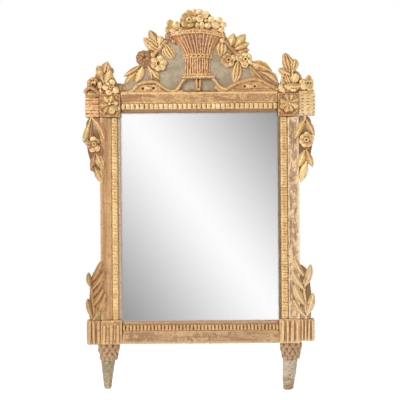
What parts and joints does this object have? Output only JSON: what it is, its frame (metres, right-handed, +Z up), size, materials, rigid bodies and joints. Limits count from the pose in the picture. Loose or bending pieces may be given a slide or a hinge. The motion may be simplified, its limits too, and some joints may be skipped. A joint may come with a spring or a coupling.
{
  "type": "giltwood wall mirror",
  "caption": "Upright carved and gilded wall mirror with a flower basket crest, corner blocks, side garlands, short tapered feet and swinging hanging rings.",
  "frame": {"origin": "middle of the top rail's back face, on the wall plane", "axes": "+X to the right seen from the front, +Y from the front to the wall, +Z up"},
  "size_m": [0.5763, 0.0615, 0.9467],
  "materials": {
    "giltwood": "worn water gilding over red bole and gesso, rubbed to wood on the high places",
    "painted_ground": "old grey-green matt paint, scuffed",
    "painted_foot": "chipped grey-green paint over brown wood",
    "pine_back": "old oxidised pine, unfinished",
    "peg_wood": "split hardwood pegs",
    "mirror_plate": "silvered mirror plate",
    "iron": "dark forged iron"
  },
  "bodies": {
    "frame": {"stile_left": "giltwood", "stile_right": "giltwood", "rail_top": "giltwood", "rail_bottom": "giltwood", "joint_pegs": "peg_wood", "foot_dowels": "peg_wood", "ribbed_moulding_top": "giltwood", "ribbed_moulding_bottom": "giltwood", "ribbed_moulding_left": "giltwood", "ribbed_moulding_right": "giltwood", "corner_block_top_left": "giltwood", "corner_block_top_right": "giltwood", "corner_block_bottom_left": "giltwood", "corner_block_bottom_right": "giltwood", "ear_top_left": "giltwood", "ear_top_right": "giltwood", "ear_bottom_left": "giltwood", "ear_bottom_right": "giltwood", "rosette_top_left": "giltwood", "rosette_top_right": "giltwood", "foot_knop_left": "giltwood", "foot_knop_right": "giltwood", "foot_left": "painted_foot", "foot_right": "painted_foot", "crest_board": "painted_ground", "crest_basket": "giltwood", "basket_stand": "giltwood", "basket_flowers": "giltwood", "garland_left": "giltwood", "garland_right": "giltwood", "crest_scroll_left": "giltwood", "crest_scroll_right": "giltwood", "spray_backing_left": "painted_ground", "spray_backing_right": "painted_ground", "spray_top_left": "giltwood", "spray_top_right": "giltwood", "drop_backing_left": "painted_ground", "drop_backing_right": "painted_ground", "flower_drop_left": "giltwood", "flower_drop_right": "giltwood", "laurel_backing_left": "painted_ground", "laurel_backing_right": "painted_ground", "laurel_branch_left": "giltwood", "laurel_branch_right": "giltwood", "mirror_glass": "mirror_plate", "backboard_left": "pine_back", "backboard_centre": "pine_back", "backboard_right": "pine_back", "backboard_brads": "iron", "crest_batten_left": "pine_back", "crest_batten_right": "pine_back", "batten_screws": "iron", "hanger_eye_left": "iron", "hanger_eye_right": "iron"},
    "ring_left": {"hanging_ring_left": "iron"},
    "ring_right": {"hanging_ring_right": "iron"}
  },
  "joints": [
    {"name": "ring_left_swing", "type": "hinge", "parent": "frame", "child": "ring_left", "pos_m": [-0.222, 0.0095, -0.0984], "axis": [1, 0, 0], "range_deg": [-12, 192]},
    {"name": "ring_right_swing", "type": "hinge", "parent": "frame", "child": "ring_right", "pos_m": [0.222, 0.0095, -0.0984], "axis": [1, 0, 0], "range_deg": [-12, 192]}
  ]
}
